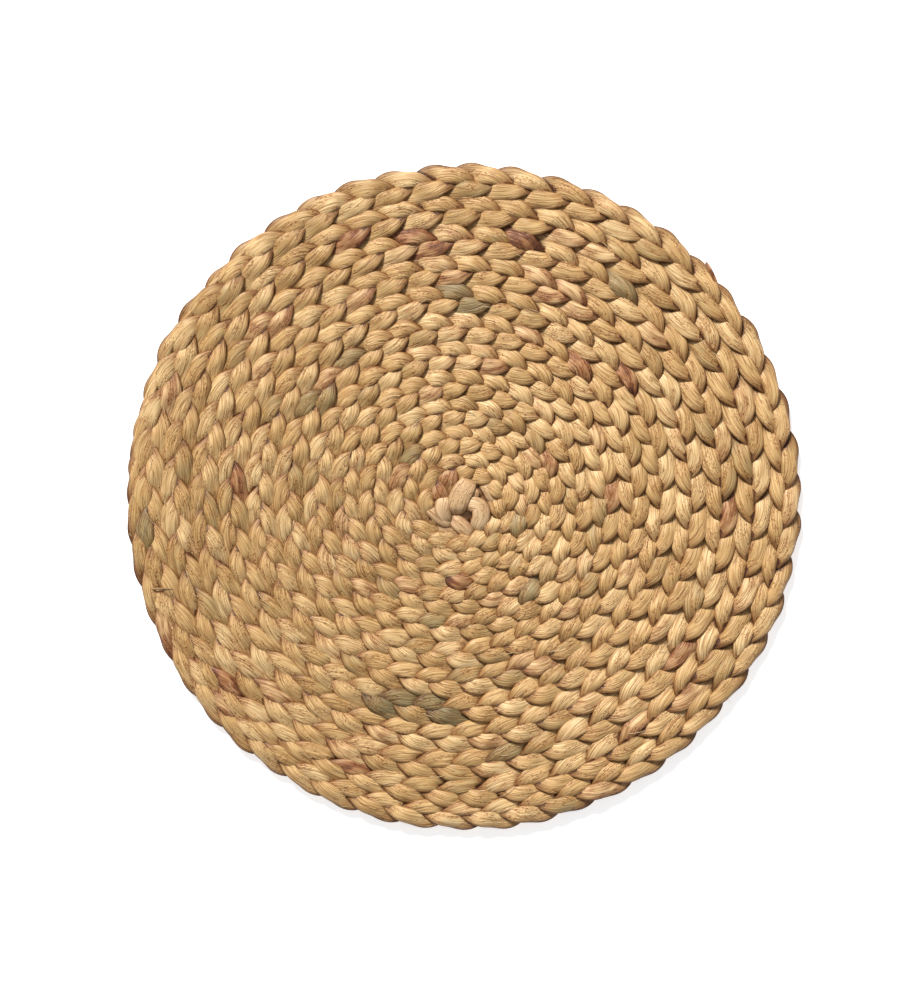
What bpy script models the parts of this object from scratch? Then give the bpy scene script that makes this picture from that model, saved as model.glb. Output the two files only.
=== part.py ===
"""Round placemat: one flat plait of three strands, wound into a spiral and sewn edge to edge.

The mat lies on the plane z = 0 with its origin under the middle of its outline. The plait
starts in the middle and winds outwards clockwise, seen from above. A place on it is given
by its turn, counted from the middle, and by how far across the plait it lies: -1 on the
inner valley, +1 on the outer one.
"""
import math

import bmesh
import bpy
from mathutils import Vector
from mathutils.geometry import delaunay_2d_cdt

# Driving dimensions of the mat, in metres and turns
RIM_RADIUS = 0.1903
RIM_OVAL = 0.0012
RIM_HEIGHT = 0.0046
FULL_THICKNESS = 0.0095
START_ANGLE = math.radians(54.0)
TURN_PITCH_AT_CENTRE = 0.0146
TURN_PITCH_GROWTH = 0.0135
PLAIT_STARTS = 0.70
TAIL_STARTS = 11.60
TAIL_ENDS = 11.80

# Where the last turn spreads inwards, just before its tail runs out
SPREAD_TURN = 11.47
SPREAD_REACH = 0.09
SPREAD_DEPTH = 0.0050

# The plait: spacing of the petals of one row, and how the outline bulges at each of them
PETAL_PITCH_AT_CENTRE = 0.0109
PETAL_PITCH_GROWTH = 0.065
SCALLOP_DEPTH = 0.0014
FULL_WIDTH = 0.010
RIM_MARGIN = 0.0026

# The turns sit a little off the middle of the outline: radius, shift to the right, shift up
DRIFT = (
    (0.000, 0.0015, -0.0030),
    (0.025, -0.0020, -0.0024),
    (0.055, -0.0058, -0.0014),
    (0.120, -0.0064, 0.0000),
    (0.165, -0.0044, 0.0010),
    (0.190, 0.0000, 0.0000),
)

# One petal of the plait: petal pitches along, share of the half width, height
CROWN = (
    (0.15, 0.74, 0.0086),
    (0.72, 0.40, 0.0095),
    (1.22, 0.04, 0.0079),
)
GROOVE = (
    (0.90, 0.62, 0.0070),
    (1.48, 0.24, 0.0074),
)
VALLEY = (0.32, 1.00, 0.0046)

# The folded start of the plait in the middle: three lobes and the dips between them
HUB = (
    (-0.0012, 0.0052, 0.0092),
    (-0.0034, -0.0010, 0.0095),
    (-0.0044, -0.0062, 0.0086),
    (0.0080, -0.0028, 0.0093),
    (0.0098, -0.0092, 0.0094),
    (0.0066, -0.0150, 0.0084),
    (-0.0125, -0.0030, 0.0084),
    (-0.0126, -0.0090, 0.0086),
    (0.0036, 0.0010, 0.0060),
    (0.0028, -0.0085, 0.0056),
    (-0.0088, -0.0058, 0.0058),
    (-0.0040, 0.0112, 0.0058),
    (0.0068, 0.0052, 0.0060),
    (-0.0060, -0.0128, 0.0058),
    (0.0018, -0.0168, 0.0060),
)

# The underside: flat lands with a shallow valley between the turns
UNDER_STEP = 0.0170
UNDER_STEPS_PER_TURN = 12
UNDER_LAND = 0.45
UNDER_VALLEY_HEIGHT = 0.0016
UNDER_RIM_MARGIN = 0.0030
UNDER_SHOULDER = 0.80
UNDER_SHOULDER_HEIGHT = 0.0010
UNDER_SHOULDER_MARGIN = 0.0017

STRAW = (0.60, 0.42, 0.20, 1.0)
STRAW_ROUGHNESS = 0.72


def smooth(share):
    """Ease from 0 to 1 with level ends."""
    share = min(max(share, 0.0), 1.0)
    return share * share * (3.0 - 2.0 * share)


def valley_radius(turn):
    """Radius of the valley on the inner side of the plait; the tail runs out at the rim."""
    scale = TURN_PITCH_AT_CENTRE / TURN_PITCH_GROWTH
    spiral = scale * (math.exp(TURN_PITCH_GROWTH * turn) - 1.0)
    spiral -= SPREAD_DEPTH * math.exp(-(((turn - SPREAD_TURN) / SPREAD_REACH) ** 2))
    fade = smooth((turn - TAIL_STARTS) / (TAIL_ENDS - TAIL_STARTS))
    return spiral + (RIM_RADIUS - spiral) * fade


def plait_width(turn):
    """Width of the plait from valley to valley."""
    return valley_radius(turn + 1.0) - valley_radius(turn)


def drift(radius):
    """Shift of the turns of this radius off the middle of the outline."""
    for (near, near_x, near_y), (far, far_x, far_y) in zip(DRIFT, DRIFT[1:]):
        if radius <= far:
            share = (radius - near) / (far - near)
            return near_x + (far_x - near_x) * share, near_y + (far_y - near_y) * share
    return DRIFT[-1][1], DRIFT[-1][2]


def place(turn, across, height):
    """Point of the mat at a turn of the spiral and a place across the plait."""
    radius = valley_radius(turn) + plait_width(turn) * (1.0 + across) / 2.0
    angle = START_ANGLE - math.tau * turn
    shift_x, shift_y = drift(radius)
    radius += RIM_OVAL * math.cos(2.0 * angle) * radius / RIM_RADIUS
    return Vector((shift_x + radius * math.cos(angle), shift_y + radius * math.sin(angle), height))


def petal_turns():
    """Turns at which the petals of one row start, one petal pitch apart along the plait."""
    turns = [PLAIT_STARTS]
    while turns[-1] < TAIL_ENDS + 0.1:
        radius = valley_radius(turns[-1] + 0.5)
        pitch = PETAL_PITCH_AT_CENTRE + PETAL_PITCH_GROWTH * radius
        turns.append(turns[-1] + pitch / (math.tau * radius))
    return turns


def turn_at(turns, petals):
    """Turn that lies a number of petals, whole or not, along the plait."""
    index = min(max(int(math.floor(petals)), 0), len(turns) - 2)
    share = petals - index
    return turns[index] + (turns[index + 1] - turns[index]) * share


def thinned(turn, height):
    """Height of the relief where the plait's tail is pinched narrow."""
    share = min(1.0, plait_width(turn) / FULL_WIDTH)
    return VALLEY[2] + (height - VALLEY[2]) * share


def rim_points(turns):
    """Outline of the mat: a bulge at each petal of the last turn and a notch after it."""
    points = []
    for index in range(len(turns) - 1):
        for along, depth in ((-0.12, 0.0), (0.12, 0.0), (VALLEY[0] + 0.06, SCALLOP_DEPTH)):
            turn = turn_at(turns, index + along)
            if TAIL_ENDS - 1.0 <= turn < TAIL_ENDS:
                edge = place(turn, 1.0, RIM_HEIGHT)
                inward = 1.0 - depth / RIM_RADIUS
                points.append(Vector((edge.x * inward, edge.y * inward, edge.z)))
    return points


def clears_rim(point, margin):
    """Whether a point is far enough inside the outline to be a corner of the relief."""
    angle = math.atan2(point.y, point.x)
    rim = RIM_RADIUS + RIM_OVAL * math.cos(2.0 * angle)
    return math.hypot(point.x, point.y) < rim - margin


def top_relief(turns):
    """Corners of the top and the ridges and grooves that tie them, petal by petal."""
    points = [Vector(row) for row in HUB]
    ties = []
    for index in range(len(turns) - 1):
        for side, lag in ((1.0, 0.0), (-1.0, 0.5)):
            crown = []
            for along, across, height in CROWN:
                turn = turn_at(turns, index + lag + along)
                if turn < TAIL_ENDS:
                    crown.append(place(turn, side * across, thinned(turn, height)))
            crown = [point for point in crown if clears_rim(point, RIM_MARGIN)]
            ties += [(len(points) + step, len(points) + step + 1) for step in range(len(crown) - 1)]
            points += crown
            for along, across, height in GROOVE:
                turn = turn_at(turns, index + lag + along)
                if turn < TAIL_ENDS:
                    point = place(turn, side * across, thinned(turn, height))
                    if clears_rim(point, RIM_MARGIN):
                        points.append(point)
        valley = place(turn_at(turns, index + VALLEY[0]), VALLEY[1], VALLEY[2])
        if clears_rim(valley, RIM_MARGIN):
            points.append(valley)
    return points, ties


def under_relief():
    """Corners of the underside: two lines of land to each turn and the valley beside them."""
    points = [Vector((0.0, 0.0, 0.0))]
    ties = []
    turn = PLAIT_STARTS
    last_valley = None
    while turn < TAIL_ENDS:
        for across in (-UNDER_LAND, UNDER_LAND):
            point = place(turn, across, 0.0)
            if clears_rim(point, UNDER_RIM_MARGIN):
                points.append(point)
        valley = place(turn, 1.0, UNDER_VALLEY_HEIGHT)
        if clears_rim(valley, UNDER_RIM_MARGIN):
            points.append(valley)
            if last_valley is not None:
                ties.append((last_valley, len(points) - 1))
            last_valley = len(points) - 1
        elif plait_width(turn) > FULL_WIDTH:
            shoulder = place(turn, UNDER_SHOULDER, UNDER_SHOULDER_HEIGHT)
            if clears_rim(shoulder, UNDER_SHOULDER_MARGIN):
                points.append(shoulder)
        radius = valley_radius(turn + 0.5)
        turn += min(UNDER_STEP / (math.tau * radius), 1.0 / UNDER_STEPS_PER_TURN)
    return points, ties


def add_sheet(work, rim, rim_verts, points, ties, facing_up):
    """Triangulate one side of the mat inside the outline and add it to the mesh."""
    flat = [corner.to_2d() for corner in rim] + [point.to_2d() for point in points]
    outline = list(range(len(rim)))
    edges = [(first + len(rim), second + len(rim)) for first, second in ties]
    spots, _, faces, origins, _, _ = delaunay_2d_cdt(flat, edges, [outline], 1, 1.0e-6)
    verts = []
    for spot, origin in zip(spots, origins):
        if origin and origin[0] < len(rim):
            verts.append(rim_verts[origin[0]])
        else:
            height = points[origin[0] - len(rim)].z if origin else FULL_THICKNESS
            verts.append(work.verts.new((spot.x, spot.y, height)))
    for face in faces:
        corners = [verts[index] for index in face]
        work.faces.new(corners if facing_up else corners[::-1])


def straw_material():
    """Dried golden stalk."""
    material = bpy.data.materials.new("straw_stalk")
    material.use_nodes = True
    shader = material.node_tree.nodes["Principled BSDF"]
    shader.inputs["Base Color"].default_value = STRAW
    shader.inputs["Roughness"].default_value = STRAW_ROUGHNESS
    shader.inputs["Metallic"].default_value = 0.0
    return material


def build_mat(collection):
    """The whole plait, wound and sewn, as one solid."""
    turns = petal_turns()
    rim = rim_points(turns)
    middle_x = (max(point.x for point in rim) + min(point.x for point in rim)) / 2.0
    middle_y = (max(point.y for point in rim) + min(point.y for point in rim)) / 2.0
    middle = Vector((middle_x, middle_y, 0.0))
    work = bmesh.new()
    rim_verts = [work.verts.new(point) for point in rim]
    for relief, facing_up in ((top_relief(turns), True), (under_relief(), False)):
        points, ties = relief
        add_sheet(work, rim, rim_verts, points, ties, facing_up)
    bmesh.ops.translate(work, verts=work.verts, vec=-middle)
    bmesh.ops.recalc_face_normals(work, faces=work.faces)
    mesh = bpy.data.meshes.new("plaited_coil")
    work.to_mesh(mesh)
    work.free()
    mesh.materials.append(straw_material())
    coil = bpy.data.objects.new("plaited_coil", mesh)
    collection.objects.link(coil)
    return coil


for old in list(bpy.data.objects):
    bpy.data.objects.remove(old, do_unlink=True)
mat_collection = bpy.data.collections.new("placemat")
bpy.context.scene.collection.children.link(mat_collection)
build_mat(mat_collection)
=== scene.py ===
"""Round placemat of dried stalk: a three-strand plait wound into a spiral and sewn edge to edge.

Metres throughout, +Z up, the underside on the plane z = 0. The plait winds outwards
clockwise, seen from above. A place along it is counted in petals of one row.
"""

import math

import bmesh
import bpy
import numpy as np
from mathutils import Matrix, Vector


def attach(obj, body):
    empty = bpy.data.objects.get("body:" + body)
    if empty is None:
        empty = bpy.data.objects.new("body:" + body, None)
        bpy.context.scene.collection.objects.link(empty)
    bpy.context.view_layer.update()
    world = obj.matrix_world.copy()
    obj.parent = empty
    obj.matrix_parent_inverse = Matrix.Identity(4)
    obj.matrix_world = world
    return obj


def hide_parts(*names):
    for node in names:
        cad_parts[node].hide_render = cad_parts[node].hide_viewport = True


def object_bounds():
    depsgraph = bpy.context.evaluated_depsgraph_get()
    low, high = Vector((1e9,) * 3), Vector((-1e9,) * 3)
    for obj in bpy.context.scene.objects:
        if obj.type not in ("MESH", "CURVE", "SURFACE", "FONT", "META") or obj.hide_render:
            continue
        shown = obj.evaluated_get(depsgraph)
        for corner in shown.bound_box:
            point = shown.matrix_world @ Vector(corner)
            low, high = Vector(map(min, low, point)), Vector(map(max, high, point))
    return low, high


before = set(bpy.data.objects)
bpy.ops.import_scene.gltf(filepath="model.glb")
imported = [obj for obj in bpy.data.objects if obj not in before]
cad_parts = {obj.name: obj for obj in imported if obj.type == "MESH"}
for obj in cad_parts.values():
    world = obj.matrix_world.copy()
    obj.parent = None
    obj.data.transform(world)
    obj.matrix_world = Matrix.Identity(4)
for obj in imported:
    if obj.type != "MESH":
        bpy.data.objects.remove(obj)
cad_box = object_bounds()
scene = bpy.context.scene

# Table, light and camera
# The mat lies on a plain white table and is looked at from straight above, through a long
# lens. A broad soft light comes from beyond the mat, a little to the left.
VIEW_HEIGHT = 0.570
LENS = 100.0
SENSOR = 36.0
MAT_RIGHT_OF_MIDDLE = 0.0083
MAT_ABOVE_MIDDLE = 0.0017

camera_data = bpy.data.cameras.new("camera")
camera_data.lens = LENS
camera_data.sensor_width = SENSOR
camera = bpy.data.objects.new("camera", camera_data)
scene.collection.objects.link(camera)
camera_height = VIEW_HEIGHT * LENS / SENSOR + cad_box[1][2] / 2.0
camera.location = (-MAT_RIGHT_OF_MIDDLE, -MAT_ABOVE_MIDDLE, camera_height)
scene.camera = camera

TABLE_HALF = 1.6
TABLE_DROP = 0.0006
TABLE_WHITE = (0.93, 0.93, 0.935, 1.0)
TABLE_ROUGHNESS = 0.9
TABLE_GLOW = 0.60
table_mesh = bpy.data.meshes.new("table_top")
table_corners = [(-1, -1), (1, -1), (1, 1), (-1, 1)]
table_points = [(x * TABLE_HALF, y * TABLE_HALF, -TABLE_DROP) for x, y in table_corners]
table_mesh.from_pydata(table_points, [], [(0, 1, 2, 3)])
table = bpy.data.objects.new("table_top", table_mesh)
scene.collection.objects.link(table)
paint = bpy.data.materials.new("white_table")
paint.use_nodes = True
paint_shader = paint.node_tree.nodes["Principled BSDF"]
paint_shader.inputs["Base Color"].default_value = TABLE_WHITE
paint_shader.inputs["Roughness"].default_value = TABLE_ROUGHNESS
paint_shader.inputs["Specular IOR Level"].default_value = 0.0
paint_shader.inputs["Emission Color"].default_value = (1.0, 1.0, 1.0, 1.0)
paint_shader.inputs["Emission Strength"].default_value = TABLE_GLOW
table_mesh.materials.append(paint)

SKY_COLOUR = (0.97, 0.985, 1.0, 1.0)
SKY_STRENGTH = 0.36
world = bpy.data.worlds.new("studio")
world.use_nodes = True
world.node_tree.nodes["Background"].inputs["Color"].default_value = SKY_COLOUR
world.node_tree.nodes["Background"].inputs["Strength"].default_value = SKY_STRENGTH
scene.world = world

KEY_STRENGTH = 4.52
KEY_SPREAD = math.radians(16.0)
KEY_COLOUR = (1.0, 0.98, 0.95)
KEY_FROM = Vector((-0.42, 0.98, 0.80))
key_data = bpy.data.lights.new("soft_key", "SUN")
key_data.energy = KEY_STRENGTH
key_data.angle = KEY_SPREAD
key_data.color = KEY_COLOUR
key = bpy.data.objects.new("soft_key", key_data)
scene.collection.objects.link(key)
key.rotation_euler = KEY_FROM.to_track_quat("Z", "Y").to_euler()
scene.view_settings.view_transform = "Standard"

# The run of the plait
# The three strands are plaited flat into one band. The band starts in the middle and is laid
# round and round itself, each turn against the one before, until it ends at the rim.
RIM_RADIUS = 0.1903
RIM_OVAL = 0.0012
START_ANGLE = math.radians(54.0)
TURN_PITCH_AT_CENTRE = 0.0146
TURN_PITCH_GROWTH = 0.0135
PLAIT_STARTS = 0.70
TAIL_STARTS = 11.60
TAIL_ENDS = 11.80
SPREAD_TURN = 11.47
SPREAD_REACH = 0.09
SPREAD_DEPTH = 0.0050
PETAL_PITCH_AT_CENTRE = 0.0109
PETAL_PITCH_GROWTH = 0.065
ROW_RUNS_ON = 0.1
DRIFT_RADIUS = (0.000, 0.025, 0.055, 0.120, 0.165, 0.190)
DRIFT_RIGHT = (0.0015, -0.0020, -0.0058, -0.0064, -0.0044, 0.0000)
DRIFT_UP = (-0.0030, -0.0024, -0.0014, 0.0000, 0.0010, 0.0000)


def smooth(share):
    """Ease from 0 to 1 with level ends."""
    share = np.clip(share, 0.0, 1.0)
    return share * share * (3.0 - 2.0 * share)


def valley_radius(turn):
    """Radius of the valley on the inner side of the plait; the tail runs out at the rim."""
    scale = TURN_PITCH_AT_CENTRE / TURN_PITCH_GROWTH
    spiral = scale * (np.exp(TURN_PITCH_GROWTH * turn) - 1.0)
    spiral = spiral - SPREAD_DEPTH * np.exp(-(((turn - SPREAD_TURN) / SPREAD_REACH) ** 2))
    fade = smooth((turn - TAIL_STARTS) / (TAIL_ENDS - TAIL_STARTS))
    return spiral + (RIM_RADIUS - spiral) * fade


def at_radius(turn, radius):
    """Place on the mat at a turn of the spiral and a radius, as two rows of x and y."""
    angle = START_ANGLE - math.tau * turn
    stretched = radius + RIM_OVAL * np.cos(2.0 * angle) * radius / RIM_RADIUS
    right = np.interp(radius, DRIFT_RADIUS, DRIFT_RIGHT)
    up = np.interp(radius, DRIFT_RADIUS, DRIFT_UP)
    return right + stretched * np.cos(angle), up + stretched * np.sin(angle)


def row_of_petals():
    """Turns at which the petals of one row start, one petal pitch apart along the plait."""
    turns = [PLAIT_STARTS]
    while turns[-1] < TAIL_ENDS + ROW_RUNS_ON:
        radius = float(valley_radius(turns[-1] + 0.5))
        pitch = PETAL_PITCH_AT_CENTRE + PETAL_PITCH_GROWTH * radius
        turns.append(turns[-1] + pitch / (math.tau * radius))
    return np.array(turns)


petal_turns = row_of_petals()


def turn_at(petals):
    """Turn that lies a number of petals along the plait, before its first petal too."""
    first_step = petal_turns[1] - petal_turns[0]
    turn = np.interp(petals, np.arange(len(petal_turns)), petal_turns)
    return turn + np.minimum(petals, 0.0) * first_step


last_petal = float(np.interp(TAIL_ENDS, petal_turns, np.arange(len(petal_turns))))

# The three strands
# Each strand is one whole dried water plant stalk after another, pressed flat and damp, about
# 10 mm wide and 4 to 5 mm thick. It passes from edge to edge of the plait, over and under the
# other two, and each pass over them shows as one petal. Held by the plait and the thread.
STRANDS = 3.0
ROWS_PER_PETAL = 13
STRAND_SIDES = 19
PHASE_LAG = 0.60
SWAY = 0.69
SWAY_BLUNTNESS = 0.10
SWAY_LEAN = 0.08
NARROWEST_HALF_PLAIT = 0.0062
TAIL_TIP_HALF_PLAIT = 0.0018
FULL_HALF_PLAIT = 0.0085
TAIL_PINCHES = 11.50
HALF_THICKNESS = 0.0019
EDGE_PLUMPNESS = 0.10
RIM_INSET = 0.0022
LEAD_IN = 1.9
END_TAPER = 1.1
END_HEIGHT = 0.55
END_SECTION = 0.35
LOWEST = 0.00005
SURFACES_AT = math.radians(20.0)
UNCOVERED = 2.0
PETAL_BORDER = 0.11
PETAL_EASE = 0.15
PETALS_BEFORE = 4.0
SPARE_PETALS = 4
PETALS_PER_PASS = STRANDS / 2.0
CROWN_IN_PASS = 0.75
CROWN_OUT = 0.0035

# Where the plait is narrow, in the middle of the mat and at the tail
NARROW_SINKS = 0.0012
NARROW_LEAF = 0.8
NARROW_LEAF_LIMIT = 0.5
NARROW_THICKNESS = 0.65

# What differs from petal to petal, at random
STRAND_SEED = 4100
WIDTH_JITTER = (-0.06, 0.12)
LAG_JITTER = 0.11
SIDEWAYS_JITTER = 0.03
ROLL_JITTER = 0.07
HEIGHT_JITTER = 0.00045
HEIGHT_JITTER_FROM = 0.004
HEIGHT_JITTER_RISE = 0.003
TONE_MEAN = 0.52
TONE_SPREAD = 0.16
TONE_LIMITS = (0.25, 0.85)
OLIVE_BELOW = 0.01
OLIVE_TONES = (0.10, 0.18)
PINKISH_ABOVE = 0.985
PINKISH_TONES = (0.87, 0.90)
SPOT_TONE_JITTER = 0.02
GRAIN_SEEDS = 40.0

# One pass of a strand over a half of the plait, from the middle (0 degrees) out to the edge (90)
# and back (180). It comes up at the valley at about 35, and its tip goes under the next petal
# at about 215, past the middle.
# Heights and depths are in millimetres, rolls are the rise towards the edge, and widths are
# half widths as a share of the half plait.
MM_PER_METRE = 1000.0
PASS_DEGREES = (0, 15, 30, 45, 60, 75, 90, 105, 120, 135, 150, 165, 180)
PASS_HEIGHTS = (6.1, 5.3, 4.2, 3.6, 3.9, 4.7, 5.6, 6.4, 7.1, 7.5, 7.6, 7.1, 6.1)
PASS_ROLLS = (-0.40, -0.32, -0.10, 0.20, 0.26, 0.10, -0.16, -0.28, -0.24, -0.06, 0.16, 0.32, 0.40)
PASS_WIDTHS = (0.45, 0.49, 0.61, 0.68, 0.72, 0.73, 0.70, 0.66, 0.62, 0.59, 0.56, 0.50, 0.45)
PASS_BELLIES = (1.2, 1.9, 2.5, 2.8, 2.8, 2.3, 1.5, 0.8, 0.3, 0.0, 0.1, 0.5, 1.2)

# Degrees of the pass over which painted shade darkens a strand as it dives under the next petal, and clears
# as it comes up
DIVE_STARTS = 152.0
DIVE_RUN = 34.0
RISE_STARTS = 8.0
RISE_RUN = 24.0


def rounded(values):
    """Row of values with its corners eased."""
    padded = np.pad(values, 1, mode="edge")
    return 0.25 * padded[:-2] + 0.5 * padded[1:-1] + 0.25 * padded[2:]


def risen(floor, share):
    """From a floor up to 1 as the share goes from 0 to 1."""
    return floor + (1.0 - floor) * share


def between_petals(values, petal):
    """Value of the petal that a row is in, eased from petal to petal where the strand is under."""
    border = np.round(petal).astype(int)
    share = smooth((petal - border) / PETAL_EASE + 0.5)
    return values[border] * (1.0 - share) + values[border + 1] * share


# Petals that stand out: place to the right and up from the middle, reach, tone from 0 to 1,
# where 0 is olive grey, 0.5 is straw, 0.86 is pinkish, 0.93 is rust and 1 is dark red-brown
TONE_SPOTS = (
    (-0.1280, 0.0068, 0.007, 0.95),
    (0.0345, 0.1453, 0.010, 1.00),
    (-0.0200, 0.1410, 0.009, 0.94),
    (-0.0660, 0.1475, 0.008, 0.93),
    (-0.0540, -0.0245, 0.006, 0.96),
    (-0.0060, -0.0480, 0.006, 0.94),
    (0.1185, -0.0950, 0.008, 0.93),
    (-0.1360, -0.1100, 0.008, 0.95),
    (-0.0735, -0.0700, 0.006, 0.92),
    (0.1550, -0.0100, 0.007, 0.90),
    (0.0960, 0.0630, 0.006, 0.93),
    (0.0545, 0.1110, 0.009, 0.88),
    (-0.0600, -0.1530, 0.007, 0.93),
    (-0.0200, -0.1243, 0.010, 0.03),
    (-0.0455, -0.1160, 0.009, 0.04),
    (0.0030, 0.1120, 0.009, 0.10),
    (-0.0290, 0.0290, 0.007, 0.14),
    (0.0900, 0.1180, 0.008, 0.12),
    (-0.0850, 0.0560, 0.008, 0.14),
)


def of_pass(phase, values):
    """Value of the pass at each phase of the weave, out of a table of values."""
    return rounded(np.interp(np.degrees(phase) % 180.0, PASS_DEGREES, values))


def place_across(phase):
    """Place of the strand's middle line across the plait, from -1 to 1, at a phase of the weave."""
    blunter = SWAY_BLUNTNESS * np.sin(3.0 * phase)
    leaning = SWAY_LEAN * np.cos(3.0 * phase)
    return SWAY * (np.sin(phase) + blunter - leaning)


def covered_sides(phase):
    """Places across the strand beyond which the next strand lies on it, inner and outer; a painted shadow
    runs along them.
    """
    ahead = phase + math.tau / STRANDS
    over = of_pass(ahead, PASS_HEIGHTS) > of_pass(phase, PASS_HEIGHTS)
    outer_half = np.floor((phase - SURFACES_AT) / math.pi) % 2 == 0
    reach = of_pass(ahead, PASS_WIDTHS)
    shift = place_across(ahead) - place_across(phase)
    low = np.where(over & outer_half, shift + reach, -UNCOVERED)
    high = np.where(over & ~outer_half, shift - reach, UNCOVERED)
    return low, high


def strand_rows(strand):
    """Rows of one strand: its middle line, how its section lies, and the look of each petal."""
    petals = np.arange(-LEAD_IN, last_petal, 1.0 / ROWS_PER_PETAL)
    phase = math.tau * (petals - strand + PHASE_LAG) / STRANDS
    petal = phase / math.pi - PETAL_BORDER + PETALS_BEFORE
    count = int(petal[-1]) + SPARE_PETALS
    rng = np.random.default_rng(STRAND_SEED + strand)
    wide = between_petals(rng.uniform(*WIDTH_JITTER, count), petal)
    high = between_petals(rng.uniform(-1.0, 1.0, count), petal)
    late = between_petals(rng.uniform(-LAG_JITTER, LAG_JITTER, count), petal)
    sideways = between_petals(rng.uniform(-SIDEWAYS_JITTER, SIDEWAYS_JITTER, count), petal)
    rolled = between_petals(rng.uniform(-ROLL_JITTER, ROLL_JITTER, count), petal)
    tones = np.clip(rng.normal(TONE_MEAN, TONE_SPREAD, count), *TONE_LIMITS)
    draw = rng.uniform(0.0, 1.0, count)
    tones = np.where(draw < OLIVE_BELOW, rng.uniform(*OLIVE_TONES, count), tones)
    tones = np.where(draw > PINKISH_ABOVE, rng.uniform(*PINKISH_TONES, count), tones)
    seeds = rng.uniform(0.0, GRAIN_SEEDS, count)

    crown_passes = np.arange(count) - PETALS_BEFORE + CROWN_IN_PASS
    crown_petals = crown_passes * PETALS_PER_PASS + strand - PHASE_LAG
    crown_turns = turn_at(crown_petals)
    crown_radius = (valley_radius(crown_turns) + valley_radius(crown_turns + 1.0)) / 2.0
    crown_side = np.sin(math.tau * (crown_petals - strand + PHASE_LAG) / STRANDS)
    crown_x, crown_y = at_radius(crown_turns, crown_radius + CROWN_OUT * crown_side)
    for spot_x, spot_y, reach, tone in TONE_SPOTS:
        close = np.hypot(crown_x - spot_x, crown_y - spot_y) < reach
        spot_tone = tone + rng.uniform(-SPOT_TONE_JITTER, SPOT_TONE_JITTER)
        tones = np.where(np.roll(close, 1), spot_tone, tones)

    phase = phase + late
    turn = turn_at(petals)
    outer = np.minimum(valley_radius(turn + 1.0), RIM_RADIUS - RIM_INSET)
    pinched = smooth((turn - TAIL_PINCHES) / (TAIL_ENDS - TAIL_PINCHES))
    narrowest = NARROWEST_HALF_PLAIT + (TAIL_TIP_HALF_PLAIT - NARROWEST_HALF_PLAIT) * pinched
    half_plait = np.maximum((outer - valley_radius(turn)) / 2.0, narrowest)
    size = half_plait / FULL_HALF_PLAIT
    across = place_across(phase) + sideways
    x, y = at_radius(turn, outer - half_plait + half_plait * across)
    z = of_pass(phase, PASS_HEIGHTS) / MM_PER_METRE
    shifted = HEIGHT_JITTER * high * smooth((z - HEIGHT_JITTER_FROM) / HEIGHT_JITTER_RISE)
    z = z + shifted - NARROW_SINKS * smooth(1.0 - size)
    ends = smooth((petals + LEAD_IN) / END_TAPER) * smooth((last_petal - petals) / END_TAPER)
    z = z * risen(END_HEIGHT, ends)
    middle = np.column_stack((x, y, z))

    tangent = np.gradient(middle, axis=0)
    tangent /= np.linalg.norm(tangent, axis=1)[:, None]
    angle = START_ANGLE - math.tau * turn
    outward = np.where(np.floor(phase / math.pi) % 2, -1.0, 1.0)
    degrees = np.degrees(phase) % 180.0
    slope = rounded(outward * np.interp(degrees, PASS_DEGREES, PASS_ROLLS)) + rolled
    side = np.column_stack((np.cos(angle), np.sin(angle), slope))
    side -= tangent * np.sum(side * tangent, axis=1)[:, None]
    side /= np.linalg.norm(side, axis=1)[:, None]
    up = np.cross(side, tangent)
    up *= np.sign(up[:, 2])[:, None]

    broader = NARROW_LEAF * np.clip(1.0 - size, 0.0, NARROW_LEAF_LIMIT)
    leaf = of_pass(phase, PASS_WIDTHS) * (1.0 + broader)
    width = half_plait * leaf * (1.0 + wide)
    plump = 1.0 - EDGE_PLUMPNESS * np.cos(2.0 * phase)
    thick = HALF_THICKNESS * plump * risen(NARROW_THICKNESS, size)
    taper = risen(END_SECTION, ends)
    belly = of_pass(phase, PASS_BELLIES) / MM_PER_METRE * np.minimum(size, 1.0)
    low_side, high_side = covered_sides(phase)
    # Share of painted shade: rises as the strand dives at the end of a pass, falls as it comes up
    diving = smooth((degrees - DIVE_STARTS) / DIVE_RUN)
    tail = diving + 1.0 - smooth((degrees - RISE_STARTS) / RISE_RUN)
    steps = np.linalg.norm(np.diff(middle, axis=0), axis=1)
    along = np.concatenate(([0.0], np.cumsum(steps)))
    return {
        "middle": middle,
        "side": side,
        "up": up,
        "half_width": width * taper,
        "half_thick": thick * taper,
        "belly": belly * taper,
        "low_side": low_side * half_plait,
        "high_side": high_side * half_plait,
        "along": along,
        "tail": np.minimum(rounded(tail), 1.0),
        "tone": between_petals(tones, petal),
        "seed": between_petals(seeds, petal),
    }


def path_object(name, runs):
    """Bare path of one or more stalks: a line of points that carry the rows' values."""
    points = np.concatenate([run["middle"] for run in runs])
    edges = []
    start = 0
    for run in runs:
        length = len(run["middle"])
        edges += [(start + step, start + step + 1) for step in range(length - 1)]
        start += length
    mesh = bpy.data.meshes.new(name)
    mesh.from_pydata(points.tolist(), edges, [])
    for key in runs[0]:
        values = np.concatenate([run[key] for run in runs])
        if values.ndim == 2:
            layer = mesh.attributes.new(key, "FLOAT_VECTOR", "POINT")
            layer.data.foreach_set("vector", values.astype(np.float32).ravel())
        else:
            layer = mesh.attributes.new(key, "FLOAT", "POINT")
            layer.data.foreach_set("value", values.astype(np.float32))
    path = bpy.data.objects.new(name, mesh)
    scene.collection.objects.link(path)
    return path


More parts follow.
